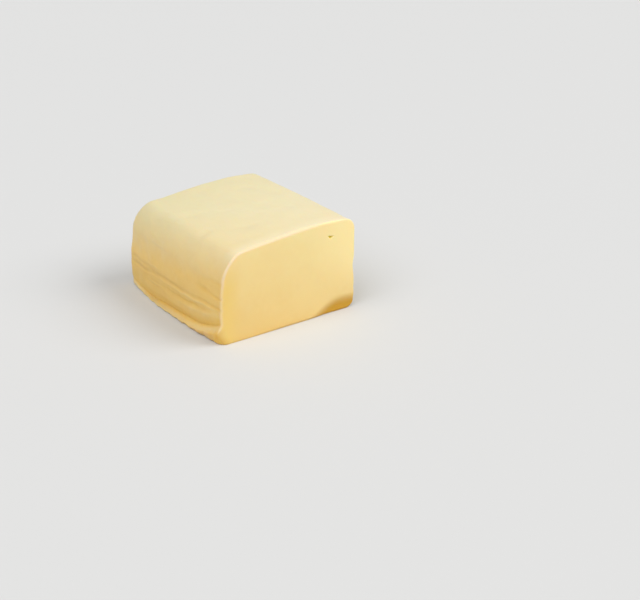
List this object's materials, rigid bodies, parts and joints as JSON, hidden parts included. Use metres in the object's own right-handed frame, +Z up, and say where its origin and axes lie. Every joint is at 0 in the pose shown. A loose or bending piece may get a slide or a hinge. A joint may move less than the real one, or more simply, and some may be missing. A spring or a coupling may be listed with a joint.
{
  "type": "block of mozzarella cheese",
  "caption": "Block of firm, low-moisture mozzarella cut crosswise from a moulded loaf, with a crowned top, creased long sides and one flat knife-cut face.",
  "frame": {"origin": "on the flat underside, under the middle of the block's box", "axes": "+Y along the loaf, from the knife cut to the moulded end; +Z up; the creased side that the picture shows faces -X"},
  "size_m": [0.1138, 0.134, 0.0685],
  "materials": {
    "cheese": "pale cream, satin skin with a smooth, slightly warmer knife cut"
  },
  "bodies": {
    "root": {"mozzarella_block": "cheese"}
  },
  "joints": []
}
